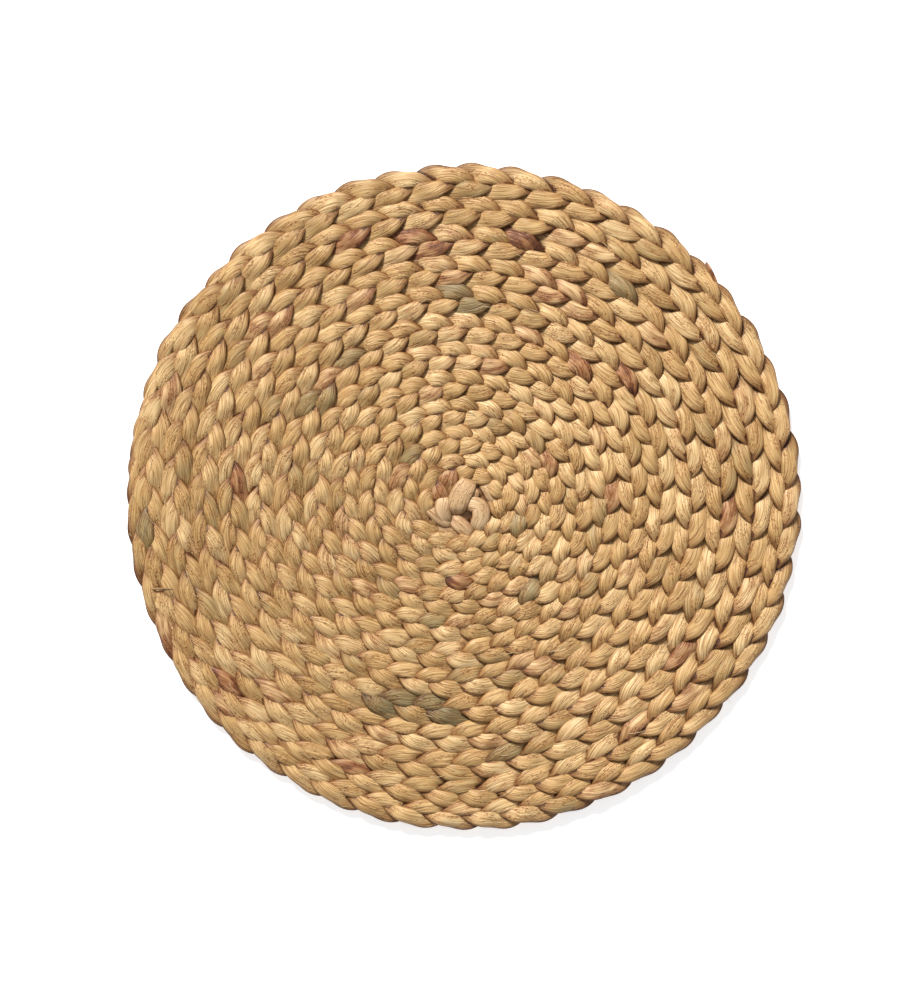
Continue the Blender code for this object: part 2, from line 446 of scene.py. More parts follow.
def add(tree, kind, inputs=None, **settings):
    """Node of a tree, with its settings, and each input given a value or another node's output."""
    made = tree.nodes.new(kind)
    for name, value in settings.items():
        setattr(made, name, value)
    for key, value in (inputs or {}).items():
        if isinstance(value, bpy.types.NodeSocket):
            tree.links.new(value, made.inputs[key])
        else:
            made.inputs[key].default_value = value
    return made


def calculate(tree, operation, *values):
    """Math node's result."""
    return add(tree, "ShaderNodeMath", dict(enumerate(values)), operation=operation).outputs[0]


def vectors(tree, operation, *values):
    """Vector Math node's result, where a number in place of a vector is a scale."""
    made = add(tree, "ShaderNodeVectorMath", operation=operation)
    keys = (0, "Scale") if operation == "SCALE" else (0, 1, 2)
    for key, value in zip(keys, values):
        if isinstance(value, bpy.types.NodeSocket):
            tree.links.new(value, made.inputs[key])
        else:
            made.inputs[key].default_value = value
    return made.outputs[0]


def new_tree(name, sockets):
    """Geometry tree with a geometry input and output and the named inputs given."""
    tree = bpy.data.node_groups.new(name, "GeometryNodeTree")
    tree.interface.new_socket("Geometry", in_out="INPUT", socket_type="NodeSocketGeometry")
    tree.interface.new_socket("Geometry", in_out="OUTPUT", socket_type="NodeSocketGeometry")
    for socket_name, kind in sockets:
        tree.interface.new_socket(socket_name, in_out="INPUT", socket_type=kind)
    return tree


def kept(tree, name, kind="FLOAT"):
    """Value kept on the points under a name."""
    return add(tree, "GeometryNodeInputNamedAttribute", {"Name": name}, data_type=kind).outputs[0]


def keep(tree, geometry, name, value, kind="FLOAT"):
    """Geometry with a value kept on its points under a name."""
    made = add(
        tree,
        "GeometryNodeStoreNamedAttribute",
        {"Geometry": geometry, "Name": name, "Value": value},
        data_type=kind,
        domain="POINT",
    )
    return made.outputs[0]


FOLDS_ACROSS = 1.9
FOLDS_THROUGH = 1.1
FOLD_DETAIL = 0.6


def stalk_sweep():
    """Tree that draws a stalk along a path: a flattened puffy section with lengthwise folds."""
    tree = new_tree("stalk_sweep", (
        ("Sides", "NodeSocketInt"),
        ("Blunt edge", "NodeSocketFloat"),
        ("Lens", "NodeSocketFloat"),
        ("Fold length", "NodeSocketFloat"),
        ("Fold depth", "NodeSocketFloat"),
        ("Lowest point", "NodeSocketFloat"),
        ("Material", "NodeSocketMaterial"),
    ))
    given = add(tree, "NodeGroupInput").outputs
    value = {}
    for name in (
        "half_width", "half_thick", "belly", "low_side", "high_side", "along", "seed", "ring", "tail",
    ):
        value[name] = kept(tree, name)
    for name in ("middle", "side", "up"):
        value[name] = kept(tree, name, "FLOAT_VECTOR")
    circle = add(tree, "GeometryNodeCurvePrimitiveCircle", {"Resolution": given["Sides"]}, mode="RADIUS")
    factor = add(tree, "GeometryNodeSplineParameter").outputs["Factor"]
    ring = keep(tree, circle.outputs[0], "ring", factor)
    curve = add(tree, "GeometryNodeMeshToCurve", {0: given["Geometry"]})
    sweep = add(
        tree,
        "GeometryNodeCurveToMesh",
        {"Curve": curve.outputs[0], "Profile Curve": ring, "Fill Caps": True},
    )
    turned = calculate(tree, "MULTIPLY", value["ring"], math.tau)
    cosine = calculate(tree, "COSINE", turned)
    sine = calculate(tree, "SINE", turned)
    shaped = []
    for wave, power in ((cosine, "Blunt edge"), (sine, "Lens")):
        size = calculate(tree, "POWER", calculate(tree, "ABSOLUTE", wave), given[power])
        shaped.append(calculate(tree, "MULTIPLY", size, calculate(tree, "SIGN", wave)))
    lengthwise = calculate(tree, "DIVIDE", value["along"], given["Fold length"])
    spot = add(
        tree,
        "ShaderNodeCombineXYZ",
        {
            0: calculate(tree, "ADD", lengthwise, value["seed"]),
            1: calculate(tree, "MULTIPLY", cosine, FOLDS_ACROSS),
            2: calculate(tree, "MULTIPLY_ADD", sine, FOLDS_THROUGH, value["seed"]),
        },
    )
    noise = add(
        tree,
        "ShaderNodeTexNoise",
        {"Vector": spot.outputs[0], "Scale": 1.0, "Detail": FOLD_DETAIL},
    )
    fold = calculate(tree, "SUBTRACT", noise.outputs[0], 0.5)
    relief = calculate(tree, "MULTIPLY", fold, given["Fold depth"])
    lower_half = calculate(tree, "LESS_THAN", sine, 0.0)
    depth = calculate(tree, "MULTIPLY_ADD", lower_half, value["belly"], value["half_thick"])
    offsets = []
    for shape, wave, half in zip(shaped, (cosine, sine), (value["half_width"], depth)):
        reach = calculate(tree, "MULTIPLY", shape, half)
        offsets.append(calculate(tree, "MULTIPLY_ADD", wave, relief, reach))
    place = vectors(tree, "ADD", value["middle"], vectors(tree, "SCALE", value["side"], offsets[0]))
    place = vectors(tree, "ADD", place, vectors(tree, "SCALE", value["up"], offsets[1]))
    split = add(tree, "ShaderNodeSeparateXYZ", {0: place})
    height = calculate(tree, "MAXIMUM", split.outputs[2], given["Lowest point"])
    place = add(tree, "ShaderNodeCombineXYZ", {0: split.outputs[0], 1: split.outputs[1], 2: height})
    moved = add(
        tree,
        "GeometryNodeSetPosition",
        {"Geometry": sweep.outputs[0], "Position": place.outputs[0]},
    )
    grain = add(tree, "ShaderNodeCombineXYZ", {0: value["along"], 1: offsets[0], 2: offsets[1]})
    grained = keep(tree, moved.outputs[0], "stalk", grain.outputs[0], "FLOAT_VECTOR")
    # How far each point is from the edge of the strand that lies on it, kept for the painted shadow in the
    # material; the lower half is kept clear of it
    from_low = calculate(tree, "SUBTRACT", offsets[0], value["low_side"])
    from_high = calculate(tree, "SUBTRACT", value["high_side"], offsets[0])
    nearest = calculate(tree, "MINIMUM", from_low, from_high)
    cleared = keep(tree, grained, "from_cover", calculate(tree, "ADD", nearest, lower_half))
    # The diving share, on the upper half only, kept for the painted shade in the material
    upper_half = calculate(tree, "SUBTRACT", 1.0, lower_half)
    dived = keep(tree, cleared, "tail", calculate(tree, "MULTIPLY", value["tail"], upper_half))
    eased = add(tree, "GeometryNodeSetShadeSmooth", {"Geometry": dived})
    solid = add(tree, "GeometryNodeRealizeInstances", {0: eased.outputs[0]})
    finished = add(
        tree,
        "GeometryNodeSetMaterial",
        {"Geometry": solid.outputs[0], "Material": given["Material"]},
    )
    add(tree, "NodeGroupOutput", {0: finished.outputs[0]})
    return tree


def run_tree(source, tree, values):
    """Give an object the tree as a modifier, with its inputs set by name."""
    modifier = source.modifiers.new(tree.name, "NODES")
    modifier.node_group = tree
    for item in tree.interface.items_tree:
        if item.in_out == "INPUT" and item.name in values:
            modifier[item.identifier] = values[item.name]


def plain_piece(source, name):
    """Piece with the evaluated mesh of a source object, faces outwards; the source is removed."""
    bpy.context.view_layer.update()
    evaluated = source.evaluated_get(bpy.context.evaluated_depsgraph_get())
    mesh = bpy.data.meshes.new_from_object(evaluated)
    bpy.data.objects.remove(source, do_unlink=True)
    work = bmesh.new()
    work.from_mesh(mesh)
    if work.calc_volume(signed=True) < 0.0:
        bmesh.ops.reverse_faces(work, faces=work.faces)
    work.to_mesh(mesh)
    work.free()
    mesh.name = name
    piece = bpy.data.objects.new(name, mesh)
    scene.collection.objects.link(piece)
    return piece


STREAK_STRETCH = 26.0
PORE_STRETCH = 2.2
PATCH_STRETCH = 2.4
PATCH_SIZE_IN_CREASES = 1.6
CREASE_STRETCH = 11.0
CREASE_HALF_WIDTH = 0.024
CREASE_DEPTH = -0.7
PORE_DEPTH = -0.55
STREAK_RANGE = (0.32, 0.68)
PATCH_RANGE = (0.35, 0.65)
PORE_RANGE = (0.52, 0.66)
PORED_PATCHES = (0.46, 0.62)


def stalk_grain():
    """Grain of dried stalk: fine streaks, pores and long creases, on coordinates along it."""
    tree = bpy.data.node_groups.new("stalk_grain", "ShaderNodeTree")
    for name, kind in (
        ("Stalk", "NodeSocketVector"),
        ("Seed", "NodeSocketFloat"),
        ("Streak width", "NodeSocketFloat"),
        ("Pore size", "NodeSocketFloat"),
        ("Crease spacing", "NodeSocketFloat"),
    ):
        tree.interface.new_socket(name, in_out="INPUT", socket_type=kind)
    for name in ("Streaks", "Pores", "Creases", "Patches", "Height"):
        tree.interface.new_socket(name, in_out="OUTPUT", socket_type="NodeSocketFloat")
    given = add(tree, "NodeGroupInput").outputs
    apart = add(tree, "ShaderNodeCombineXYZ", {0: given["Seed"], 1: given["Seed"], 2: given["Seed"]})

    def layer(size, stretch, detail):
        """Noise with cells of this size, drawn out along the stalk."""
        narrow = calculate(tree, "DIVIDE", 1.0, size)
        long = calculate(tree, "DIVIDE", narrow, stretch)
        scale = add(tree, "ShaderNodeCombineXYZ", {0: long, 1: narrow, 2: narrow})
        scaled = vectors(tree, "MULTIPLY", given["Stalk"], scale.outputs[0])
        spot = vectors(tree, "ADD", scaled, apart.outputs[0])
        noise = add(tree, "ShaderNodeTexNoise", {"Vector": spot, "Scale": 1.0, "Detail": detail})
        return noise.outputs[0]

    def ramp(source, low, high):
        """Share from 0 at low to 1 at high."""
        made = add(
            tree,
            "ShaderNodeMapRange",
            {"Value": source, "From Min": low, "From Max": high},
            interpolation_type="SMOOTHSTEP",
        )
        return made.outputs[0]

    streaks = layer(given["Streak width"], STREAK_STRETCH, 3.0)
    pores = layer(given["Pore size"], PORE_STRETCH, 1.0)
    patch_size = calculate(tree, "MULTIPLY", given["Crease spacing"], PATCH_SIZE_IN_CREASES)
    patches = layer(patch_size, PATCH_STRETCH, 2.0)
    lines = layer(given["Crease spacing"], CREASE_STRETCH, 1.0)
    from_line = calculate(tree, "ABSOLUTE", calculate(tree, "SUBTRACT", lines, 0.5))
    creases = ramp(from_line, CREASE_HALF_WIDTH, 0.0)
    dots = calculate(tree, "MULTIPLY", ramp(pores, *PORE_RANGE), ramp(patches, *PORED_PATCHES))
    height = calculate(tree, "MULTIPLY_ADD", creases, CREASE_DEPTH, streaks)
    height = calculate(tree, "MULTIPLY_ADD", dots, PORE_DEPTH, height)
    results = {
        "Streaks": ramp(streaks, *STREAK_RANGE),
        "Pores": dots,
        "Creases": creases,
        "Patches": ramp(patches, *PATCH_RANGE),
        "Height": height,
    }
    add(tree, "NodeGroupOutput", results)
    return tree


grain_group = stalk_grain()


def tint(tree, kind, strength, under, over):
    """Colour of one colour laid on another."""
    made = add(tree, "ShaderNodeMix", {0: strength, 6: under, 7: over}, data_type="RGBA", blend_type=kind)
    return made.outputs[2]


def darkened(tree, look, where, strength, colour):
    """Colour multiplied by another one, as far as a share and a strength say."""
    share = calculate(tree, "MULTIPLY", where, strength)
    return tint(tree, "MULTIPLY", share, look, (*colour, 1.0))


STREAK_WIDTH = 0.00055
PORE_SIZE = 0.00062
CREASE_SPACING = 0.0030
PATCH_TONE = 0.11
PATCH_TONE_BASE = -0.06
PATCH_STRENGTH = 0.42
PATCH_TINT = (0.80, 0.66, 0.50)
STREAK_TINT = (0.58, 0.45, 0.33)
# Browner edges of the stalk, partly painted shade along the petal borders
EDGE_BROWN_AND_SHADE_TINT = (0.40, 0.26, 0.15)
EDGE_SHARPNESS = 6.0
# Painted shadow along the edge where the next strand lies on this one
COVER_SHADOW_TINT = (0.24, 0.14, 0.075)
COVER_SHADE_FROM = 0.0006
COVER_SHADE_TO = 0.0027
# Painted shade where a strand dives under the next petal
DIVE_SHADE_STRENGTH = 0.85
DIVE_SHADE_TINT = (0.46, 0.30, 0.18)
# Painted shade in the long creases
CREASE_SHADE_STRENGTH = 0.60
CREASE_SHADE_TINT = (0.52, 0.36, 0.24)
PORE_TINT = (0.42, 0.27, 0.16)
# Painted shade down in the gaps between petals
GAP_SHADE_STRENGTH = 0.95
GAP_SHADE_TINT = (0.32, 0.19, 0.10)
STALK_SHINE = 0.42
STREAK_SHINE = -0.12

# Painted shade down in the gaps: how dark it is at each height in centimetres, from the table up
GAP_SHADES = ((0.12, 0.0), (0.28, 1.0), (0.46, 1.0), (0.71, 0.0))


def stalk_material(name, tones, seed, streak_depth, pore_depth, roughness):
    """Dried stalk: colour of each petal, streaked and pored lengthwise, browner at the edges.
    Painted shade darkens it at the edges too, in the creases, along covered sides, on diving ends and in
    the gaps.
    """
    material = bpy.data.materials.new(name)
    material.use_nodes = True
    tree = material.node_tree
    shader = tree.nodes["Principled BSDF"]
    tone = add(tree, "ShaderNodeAttribute", attribute_name="tone").outputs["Fac"]
    run = add(tree, "ShaderNodeAttribute", attribute_name="stalk").outputs["Vector"]
    petal_seed = add(tree, "ShaderNodeAttribute", attribute_name="seed").outputs["Fac"]
    grain = add(tree, "ShaderNodeGroup", node_tree=grain_group)
    tree.links.new(run, grain.inputs["Stalk"])
    tree.links.new(calculate(tree, "ADD", petal_seed, seed), grain.inputs["Seed"])
    grain.inputs["Streak width"].default_value = STREAK_WIDTH
    grain.inputs["Pore size"].default_value = PORE_SIZE
    grain.inputs["Crease spacing"].default_value = CREASE_SPACING

    shift = calculate(tree, "MULTIPLY_ADD", grain.outputs["Patches"], PATCH_TONE, PATCH_TONE_BASE)
    colours = add(tree, "ShaderNodeValToRGB", {0: calculate(tree, "ADD", tone, shift)})
    while len(colours.color_ramp.elements) < len(tones):
        colours.color_ramp.elements.new(0.5)
    for element, (place, colour) in zip(colours.color_ramp.elements, tones):
        element.position = place
        element.color = (*colour, 1.0)
    look = colours.outputs[0]
    look = darkened(tree, look, grain.outputs["Patches"], PATCH_STRENGTH, PATCH_TINT)
    between = calculate(tree, "SUBTRACT", 1.0, grain.outputs["Streaks"])
    look = darkened(tree, look, between, streak_depth, STREAK_TINT)
    # Darker towards both sides of the section: partly the stalk's browner edges, partly painted shade along
    # the petal borders
    ring = add(tree, "ShaderNodeAttribute", attribute_name="ring").outputs["Fac"]
    across = calculate(tree, "COSINE", calculate(tree, "MULTIPLY", ring, math.tau))
    edge = calculate(tree, "POWER", calculate(tree, "ABSOLUTE", across), EDGE_SHARPNESS)
    look = darkened(tree, look, edge, 1.0, EDGE_BROWN_AND_SHADE_TINT)
    # Painted shadow along the edge where the next strand lies on this one, fading over a few millimetres
    from_cover = add(tree, "ShaderNodeAttribute", attribute_name="from_cover").outputs["Fac"]
    shadow = add(
        tree,
        "ShaderNodeMapRange",
        {
            "Value": from_cover,
            "From Min": COVER_SHADE_FROM,
            "From Max": COVER_SHADE_TO,
            "To Min": 1.0,
            "To Max": 0.0,
        },
        interpolation_type="SMOOTHSTEP",
    )
    look = darkened(tree, look, shadow.outputs[0], 1.0, COVER_SHADOW_TINT)
    # Painted shade on the ends of the petals, where the strand dives under the next one
    tail = add(tree, "ShaderNodeAttribute", attribute_name="tail").outputs["Fac"]
    look = darkened(tree, look, tail, DIVE_SHADE_STRENGTH, DIVE_SHADE_TINT)
    # Painted shade in the long creases
    look = darkened(tree, look, grain.outputs["Creases"], CREASE_SHADE_STRENGTH, CREASE_SHADE_TINT)
    look = darkened(tree, look, grain.outputs["Pores"], pore_depth, PORE_TINT)
    # Painted shade down in the gaps between petals, darker lower down
    where = add(tree, "ShaderNodeTexCoord").outputs["Object"]
    height = add(tree, "ShaderNodeSeparateXYZ", {0: where}).outputs[2]
    centimetres = calculate(tree, "MULTIPLY", height, 100.0)
    gaps = add(tree, "ShaderNodeValToRGB", {0: centimetres})
    while len(gaps.color_ramp.elements) < len(GAP_SHADES):
        gaps.color_ramp.elements.new(0.5)
    for element, (place, shade) in zip(gaps.color_ramp.elements, GAP_SHADES):
        element.position = place
        element.color = (shade, shade, shade, 1.0)
    look = darkened(tree, look, gaps.outputs[0], GAP_SHADE_STRENGTH, GAP_SHADE_TINT)
    tree.links.new(look, shader.inputs["Base Color"])
    rough = calculate(tree, "MULTIPLY_ADD", grain.outputs["Streaks"], STREAK_SHINE, roughness)
    tree.links.new(rough, shader.inputs["Roughness"])
    shader.inputs["Specular IOR Level"].default_value = STALK_SHINE
    bump = add(tree, "ShaderNodeBump", {"Strength": 0.75, "Distance": 0.00045})
    tree.links.new(grain.outputs["Height"], bump.inputs["Height"])
    tree.links.new(bump.outputs[0], shader.inputs["Normal"])
    return material


STRAND_TONES = (
    (0.00, (0.31, 0.245, 0.120)),
    (0.14, (0.48, 0.355, 0.165)),
    (0.30, (0.68, 0.455, 0.195)),
    (0.50, (0.79, 0.535, 0.245)),
    (0.66, (0.91, 0.68, 0.355)),
    (0.78, (0.86, 0.595, 0.305)),
    (0.87, (0.66, 0.41, 0.205)),
    (0.94, (0.50, 0.24, 0.105)),
    (1.00, (0.25, 0.10, 0.040)),
)
strand_stalk = stalk_material(
    "plaited_stalk", STRAND_TONES, seed=0.0, streak_depth=0.95, pore_depth=0.80, roughness=0.56,
)
sweep_tree = stalk_sweep()
for number, letter in enumerate("abc"):
    rows = strand_rows(number)
    path = path_object("strand_path", [rows])
    run_tree(path, sweep_tree, {
        "Sides": STRAND_SIDES,
        "Blunt edge": 0.92,
        "Lens": 1.22,
        "Fold length": 0.019,
        "Fold depth": 0.0009,
        "Lowest point": LOWEST,
        "Material": strand_stalk,
    })
    strand = plain_piece(path, "strand_" + letter)
    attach(strand, "root")
    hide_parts("plaited_coil")

# The folded start
# The plait starts where the strands are folded over one another in the middle of the mat.
# The folds are paler stalk than the petals, a little pink, and the first turn holds them down.
FOLDS = (
    (0.0064, 0.0024, (
        (0.0040, 0.0112, 0.0042),
        (0.0006, 0.0056, 0.0080),
        (-0.0024, 0.0006, 0.0084),
        (-0.0044, -0.0056, 0.0076),
        (-0.0046, -0.0108, 0.0034),
    )),
    (0.0053, 0.0022, (
        (-0.0010, -0.0052, 0.0050),
        (0.0042, -0.0040, 0.0078),
        (0.0086, -0.0058, 0.0082),
        (0.0094, -0.0108, 0.0080),
        (0.0076, -0.0160, 0.0068),
        (0.0056, -0.0206, 0.0034),
    )),
    (0.0046, 0.0022, (
        (-0.0102, 0.0024, 0.0042),
        (-0.0120, -0.0024, 0.0076),
        (-0.0128, -0.0072, 0.0080),
        (-0.0112, -0.0120, 0.0068),
        (-0.0090, -0.0164, 0.0034),
    )),
    (0.0024, 0.0018, (
        (0.0044, 0.0052, 0.0040),
        (0.0062, 0.0018, 0.0062),
        (0.0058, -0.0016, 0.0050),
    )),
    (0.0043, 0.0021, (
        (-0.0232, -0.0030, 0.0046),
        (-0.0178, -0.0078, 0.0066),
        (-0.0124, -0.0128, 0.0064),
        (-0.0070, -0.0176, 0.0040),
    )),
    (0.0046, 0.0020, (
        (-0.0086, -0.0104, 0.0042),
        (-0.0034, -0.0150, 0.0060),
        (0.0018, -0.0196, 0.0056),
        (0.0058, -0.0226, 0.0034),
    )),
    (0.0041, 0.0020, (
        (0.0088, 0.0094, 0.0046),
        (0.0132, 0.0052, 0.0064),
        (0.0158, 0.0000, 0.0062),
        (0.0166, -0.0052, 0.0038),
    )),
    (0.0102, 0.0026, (
        (-0.0230, 0.0030, 0.0028),
        (-0.0040, -0.0030, 0.0029),
        (0.0200, -0.0090, 0.0028),
    )),
    (0.0082, 0.0026, (
        (-0.0150, -0.0230, 0.0028),
        (-0.0010, -0.0060, 0.0030),
        (0.0110, 0.0140, 0.0028),
    )),
    (0.0064, 0.0024, (
        (-0.0260, -0.0070, 0.0028),
        (-0.0180, -0.0160, 0.0036),
        (-0.0060, -0.0216, 0.0036),
        (0.0070, -0.0236, 0.0028),
    )),
)
FOLD_STEP = 0.0011
FOLD_SIDES = 22
FOLD_TONE_STEP = 0.37
FOLD_SEED_STEP = 3.7
RUN_TIP = 0.45
RUN_FULLNESS = 0.6
RUN_FADE = 0.25


def through(points, step):
    """Rows of points on a smooth line through the given ones, about one step apart."""
    points = np.array(points)
    spans = np.linalg.norm(np.diff(points, axis=0), axis=1)
    knots = np.concatenate(([0.0], np.cumsum(spans)))
    slopes = np.gradient(points, knots, axis=0)
    places = np.linspace(0.0, knots[-1], max(4, int(knots[-1] / step)))
    span = np.clip(np.searchsorted(knots, places, side="right") - 1, 0, len(knots) - 2)
    length = (knots[span + 1] - knots[span])[:, None]
    share = (places - knots[span])[:, None] / length
    start_weight = 2.0 * share**3 - 3.0 * share**2 + 1.0
    start_slope = (share**3 - 2.0 * share**2 + share) * length
    end_slope = (share**3 - share**2) * length
    line = start_weight * points[span] + (1.0 - start_weight) * points[span + 1]
    return line + start_slope * slopes[span] + end_slope * slopes[span + 1], places


def short_run(points, half_width, half_thick, step, tone, seed):
    """Rows of a short stalk that lies flat along a given line, thinner at both ends."""
    middle, along = through(points, step)
    tangent = np.gradient(middle, axis=0)
    tangent /= np.linalg.norm(tangent, axis=1)[:, None]
    side = np.cross(tangent, (0.0, 0.0, 1.0))
    side /= np.linalg.norm(side, axis=1)[:, None]
    share = along / along[-1]
    plump = risen(RUN_TIP, np.sin(math.pi * np.clip(share, 0.0, 1.0)) ** RUN_FULLNESS)
    return {
        "middle": middle,
        "side": side,
        "up": np.cross(side, tangent),
        "half_width": half_width * plump,
        "half_thick": half_thick * plump,
        "belly": np.zeros(len(along)),
        "low_side": np.full(len(along), -1.0),
        "high_side": np.full(len(along), 1.0),
        "along": along,
        # Painted shade, darker towards both ends of the short stalk
        "tail": 1.0 - smooth(share / RUN_FADE) * smooth((1.0 - share) / RUN_FADE),
        "tone": np.full(len(along), tone),
        "seed": np.full(len(along), seed),
    }


FOLD_TONES = (
    (0.00, (0.79, 0.56, 0.32)),
    (0.50, (0.76, 0.53, 0.30)),
    (1.00, (0.72, 0.48, 0.27)),
)
fold_stalk = stalk_material(
    "folded_stalk", FOLD_TONES, seed=60.0, streak_depth=0.40, pore_depth=0.35, roughness=0.50,
)
fold_runs = []
for number, (half_width, half_thick, points) in enumerate(FOLDS):
    tone = (number * FOLD_TONE_STEP) % 1.0
    seed = FOLD_SEED_STEP * number
    fold_runs.append(short_run(points, half_width, half_thick, FOLD_STEP, tone, seed))
path = path_object("fold_path", fold_runs)
run_tree(path, sweep_tree, {
    "Sides": FOLD_SIDES,
    "Blunt edge": 0.84,
    "Lens": 0.95,
    "Fold length": 0.012,
    "Fold depth": 0.0008,
    "Lowest point": LOWEST,
    "Material": fold_stalk,
})
folded_start = plain_piece(path, "folded_start")
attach(folded_start, "root")
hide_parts("plaited_coil")

# The sewing thread
# Thin brown twine runs from turn to turn under the mat and draws each turn against the one
# before. It lies in the valleys, so from the top only one slack stitch shows, by the left rim.
THREAD_DIAMETER = 0.0008
STITCH_LENGTH = 0.0085
STITCH_HEIGHT = 0.0022
STITCH_SLANT = math.radians(38.0)
SLACK_STITCH = (-0.1719, -0.0524, 0.0086)
SLACK_STITCH_SPAN = 1.35
THREAD_STEPS = 6
THREAD_SIDES = 6
TAIL_MARGIN = 0.05


def point_cloud(name, spots, facing, spans):
    """Bare points that carry the way each thread faces and how long it is against the rest."""
    mesh = bpy.data.meshes.new(name)
    mesh.from_pydata(np.array(spots).tolist(), [], [])
    turn_layer = mesh.attributes.new("facing", "FLOAT_VECTOR", "POINT")
    turn_layer.data.foreach_set("vector", np.array(facing, dtype=np.float32).ravel())
    span_layer = mesh.attributes.new("span", "FLOAT", "POINT")
    span_layer.data.foreach_set("value", np.array(spans, dtype=np.float32))
    cloud = bpy.data.objects.new(name, mesh)
    scene.collection.objects.link(cloud)
    return cloud


def short_threads():
    """Tree that lays a short bowed thread at each point."""
    tree = new_tree("short_threads", (
        ("Length", "NodeSocketFloat"),
        ("Lift", "NodeSocketFloat"),
        ("Bow", "NodeSocketFloat"),
        ("Diameter", "NodeSocketFloat"),
        ("Material", "NodeSocketMaterial"),
    ))
    given = add(tree, "NodeGroupInput").outputs
    start = add(tree, "ShaderNodeCombineXYZ", {0: calculate(tree, "MULTIPLY", given["Length"], -0.5)})
    middle = add(tree, "ShaderNodeCombineXYZ", {1: given["Bow"], 2: given["Lift"]})
    end = add(tree, "ShaderNodeCombineXYZ", {0: calculate(tree, "MULTIPLY", given["Length"], 0.5)})
    line = add(
        tree,
        "GeometryNodeCurveQuadraticBezier",
        {
            "Resolution": THREAD_STEPS,
            "Start": start.outputs[0],
            "Middle": middle.outputs[0],
            "End": end.outputs[0],
        },
    )
    radius = calculate(tree, "MULTIPLY", given["Diameter"], 0.5)
    ring = add(
        tree,
        "GeometryNodeCurvePrimitiveCircle",
        {"Resolution": THREAD_SIDES, "Radius": radius},
        mode="RADIUS",
    )
    thread = add(
        tree,
        "GeometryNodeCurveToMesh",
        {"Curve": line.outputs[0], "Profile Curve": ring.outputs[0], "Fill Caps": True},
    )
    laid = add(
        tree,
        "GeometryNodeInstanceOnPoints",
        {
            "Points": given["Geometry"],
            "Instance": thread.outputs[0],
            "Rotation": kept(tree, "facing", "FLOAT_VECTOR"),
            "Scale": kept(tree, "span"),
        },
    )
    solid = add(tree, "GeometryNodeRealizeInstances", {0: laid.outputs[0]})
    eased = add(tree, "GeometryNodeSetShadeSmooth", {"Geometry": solid.outputs[0]})
    finished = add(
        tree,
        "GeometryNodeSetMaterial",
        {"Geometry": eased.outputs[0], "Material": given["Material"]},
    )
    add(tree, "NodeGroupOutput", {0: finished.outputs[0]})
    return tree


def twine_material(name, low, high, cell, roughness):
    """Twisted plant fibre: two tones along a fine grain."""
    material = bpy.data.materials.new(name)
    material.use_nodes = True
    tree = material.node_tree
    shader = tree.nodes["Principled BSDF"]
    where = add(tree, "ShaderNodeTexCoord").outputs["Object"]
    noise = add(tree, "ShaderNodeTexNoise", {"Vector": where, "Scale": 1.0 / cell, "Detail": 2.0})
    share = add(tree, "ShaderNodeMapRange", {"Value": noise.outputs[0], "From Min": 0.35, "From Max": 0.65})
    look = tint(tree, "MIX", share.outputs[0], (*low, 1.0), (*high, 1.0))
    tree.links.new(look, shader.inputs["Base Color"])
    shader.inputs["Roughness"].default_value = roughness
    bump = add(tree, "ShaderNodeBump", {"Strength": 0.4, "Distance": 0.0001})
    tree.links.new(noise.outputs[0], bump.inputs["Height"])
    tree.links.new(bump.outputs[0], shader.inputs["Normal"])
    return material


stitch_turns = petal_turns[petal_turns + 1.0 < TAIL_ENDS - TAIL_MARGIN][::2]
stitch_x, stitch_y = at_radius(stitch_turns, valley_radius(stitch_turns + 1.0))
slants = np.where(np.arange(len(stitch_turns)) % 2, STITCH_SLANT, -STITCH_SLANT)
stitch_angles = START_ANGLE - math.tau * stitch_turns + slants
stitch_spots = [(x, y, STITCH_HEIGHT) for x, y in zip(stitch_x, stitch_y)] + [SLACK_STITCH]
stitch_facing = [(0.0, 0.0, angle) for angle in stitch_angles] + [(0.0, 0.0, 0.0)]
stitch_spans = [1.0] * len(stitch_turns) + [SLACK_STITCH_SPAN]
threads_tree = short_threads()
brown_twine = twine_material(
    "brown_twine", low=(0.20, 0.11, 0.05), high=(0.42, 0.27, 0.13), cell=0.0005, roughness=0.8,
)
cloud = point_cloud("stitch_points", stitch_spots, stitch_facing, stitch_spans)
run_tree(cloud, threads_tree, {
    "Length": STITCH_LENGTH,
    "Lift": 0.0010,
    "Bow": 0.0004,
    "Diameter": THREAD_DIAMETER,
    "Material": brown_twine,
})
sewing_thread = plain_piece(cloud, "sewing_thread")
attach(sewing_thread, "root")

# The stray ends
# Here and there the thin end of a stalk stands out of the plait, where a new stalk was laid
# in. It is the same dried stalk as the strands, and only the plait holds it.
STRAY_STEP = 0.0008
STRAY_SEED = 11.0
STRAY_ENDS = (
    (0.0012, 0.0005, 0.96, (
        (0.1444, 0.1186, 0.0050),
        (0.1428, 0.1226, 0.0074),
        (0.1402, 0.1282, 0.0082),
        (0.1374, 0.1336, 0.0070),
    )),
    (0.0015, 0.0006, 1.00, (
        (0.0900, 0.0682, 0.0066),
        (0.0920, 0.0650, 0.0094),
        (0.0940, 0.0616, 0.0098),
        (0.0954, 0.0590, 0.0084),
    )),
)
stray_runs = []
for half_width, half_thick, tone, points in STRAY_ENDS:
    stray_runs.append(short_run(points, half_width, half_thick, STRAY_STEP, tone, STRAY_SEED))
path = path_object("stray_path", stray_runs)
run_tree(path, sweep_tree, {
    "Sides": 10,
    "Blunt edge": 0.9,
    "Lens": 0.9,
    "Fold length": 0.006,
    "Fold depth": 0.0003,
    "Lowest point": LOWEST,
    "Material": strand_stalk,
})
stray_ends = plain_piece(path, "stray_ends")
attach(stray_ends, "root")

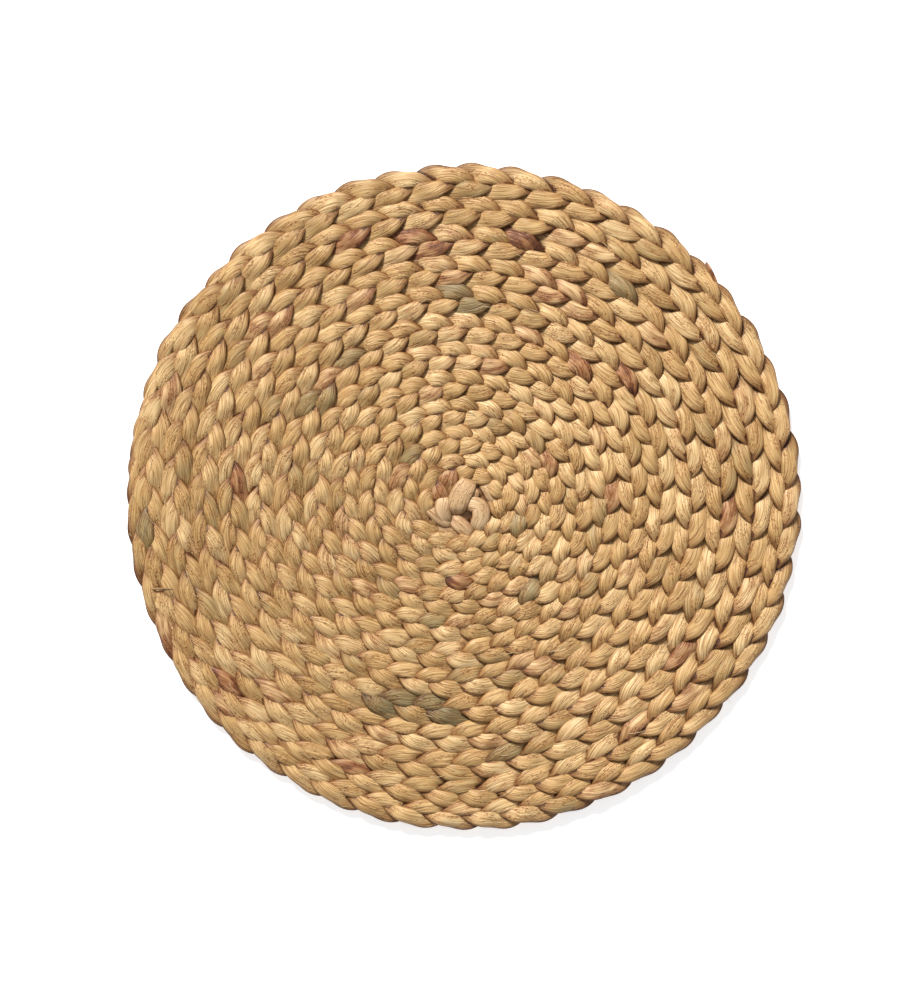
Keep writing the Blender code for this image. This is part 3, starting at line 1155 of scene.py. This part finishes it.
# The loose fibres
# Hair-thin fibres have come loose from the skin of the stalks. Most of them lie along the
# petals and a few stand out at the rim, each still held by the stalk that it belongs to.
FIBRES_ON_TOP = 150
FIBRE_ACROSS = (0.15, 0.85)
FIBRE_HEIGHTS = (0.0080, 0.0094)
FIBRE_LEAN = 0.5
FIBRE_SPANS = (0.5, 1.5)
FIBRES_STOP_SHORT = 1.1
FIBRES_AT_RIM = 34
RIM_FIBRE_INSET = 0.0012
RIM_FIBRE_HEIGHTS = (0.0040, 0.0075)
RIM_FIBRE_LEAN = 1.3
RIM_FIBRE_SPANS = (0.35, 0.8)
FIBRE_TILT = 0.10
FIBRE_ROLL = 0.6
FIBRE_LENGTH = 0.0075
FIBRE_DIAMETER = 0.00020
FIBRE_SEED = 77
rng = np.random.default_rng(FIBRE_SEED)
fibre_share = np.sqrt(rng.uniform(0.0, 1.0, FIBRES_ON_TOP))
fibre_turns = PLAIT_STARTS + (TAIL_ENDS - FIBRES_STOP_SHORT - PLAIT_STARTS) * fibre_share
inner = valley_radius(fibre_turns)
fibre_across = rng.uniform(*FIBRE_ACROSS, FIBRES_ON_TOP)
fibre_radius = inner + (valley_radius(fibre_turns + 1.0) - inner) * fibre_across
fibre_x, fibre_y = at_radius(fibre_turns, fibre_radius)
fibre_z = rng.uniform(*FIBRE_HEIGHTS, FIBRES_ON_TOP)
lean = rng.uniform(-FIBRE_LEAN, FIBRE_LEAN, FIBRES_ON_TOP) - math.pi / 2.0
fibre_angles = START_ANGLE - math.tau * fibre_turns + lean
rim_turns = rng.uniform(TAIL_ENDS - 1.0, TAIL_ENDS - TAIL_MARGIN, FIBRES_AT_RIM)
rim_x, rim_y = at_radius(rim_turns, np.full(FIBRES_AT_RIM, RIM_RADIUS - RIM_FIBRE_INSET))
rim_z = rng.uniform(*RIM_FIBRE_HEIGHTS, FIBRES_AT_RIM)
rim_lean = rng.uniform(-RIM_FIBRE_LEAN, RIM_FIBRE_LEAN, FIBRES_AT_RIM)
rim_angles = START_ANGLE - math.tau * rim_turns + rim_lean
fibre_spots = np.column_stack((
    np.concatenate((fibre_x, rim_x)),
    np.concatenate((fibre_y, rim_y)),
    np.concatenate((fibre_z, rim_z)),
))
angles = np.concatenate((fibre_angles, rim_angles))
tilts = rng.uniform(-FIBRE_TILT, FIBRE_TILT, len(angles))
rolls = rng.uniform(-FIBRE_ROLL, FIBRE_ROLL, len(angles))
fibre_facing = np.column_stack((rolls, tilts, angles))
top_spans = rng.uniform(*FIBRE_SPANS, FIBRES_ON_TOP)
rim_spans = rng.uniform(*RIM_FIBRE_SPANS, FIBRES_AT_RIM)
fibre_spans = np.concatenate((top_spans, rim_spans))
loose_fibre = twine_material(
    "loose_fibre", low=(0.55, 0.38, 0.19), high=(0.86, 0.70, 0.44), cell=0.002, roughness=0.6,
)
cloud = point_cloud("fibre_points", fibre_spots, fibre_facing, fibre_spans)
run_tree(cloud, threads_tree, {
    "Length": FIBRE_LENGTH,
    "Lift": 0.0014,
    "Bow": 0.0012,
    "Diameter": FIBRE_DIAMETER,
    "Material": loose_fibre,
})
loose_fibres = plain_piece(cloud, "loose_fibres")
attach(loose_fibres, "root")
